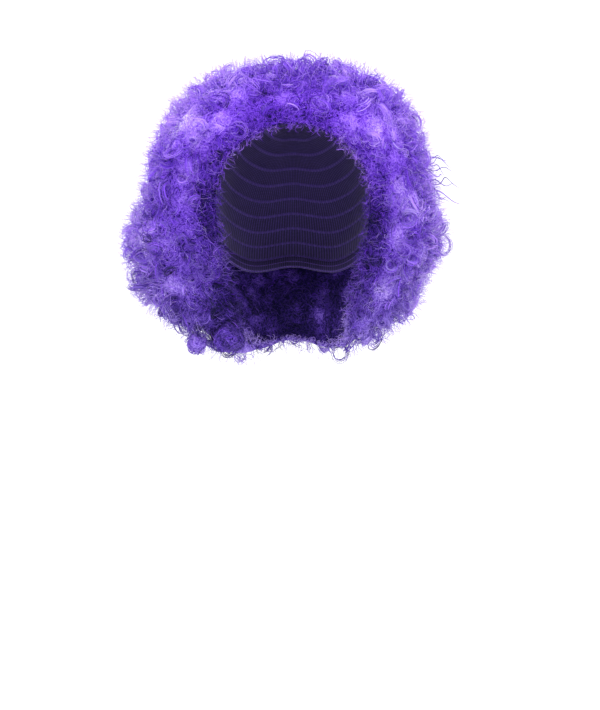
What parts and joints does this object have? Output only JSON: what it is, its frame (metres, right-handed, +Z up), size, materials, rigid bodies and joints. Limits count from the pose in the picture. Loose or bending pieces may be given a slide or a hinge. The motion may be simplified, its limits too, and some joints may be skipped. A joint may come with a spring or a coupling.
{
  "type": "afro wig",
  "caption": "Full rounded curly afro wig: stretch cap with an edge band and five sections of hair sewn round it, open for the face and neck.",
  "frame": {"origin": "point inside the top of the cap where the crown of the head sits", "axes": "+Z up, face towards -Y, wearer's left towards +X"},
  "size_m": [0.2745, 0.2578, 0.2636],
  "materials": {
    "stretch_cap": "fine matt knit",
    "elastic_band": "matt woven elastic",
    "curly_hair": "satin synthetic hair in tight curls"
  },
  "bodies": {
    "root": {"wig_cap": "stretch_cap", "edge_band": "elastic_band", "crown_hair": "curly_hair", "front_hair": "curly_hair", "left_side_hair": "curly_hair", "right_side_hair": "curly_hair", "nape_hair": "curly_hair"}
  },
  "joints": []
}
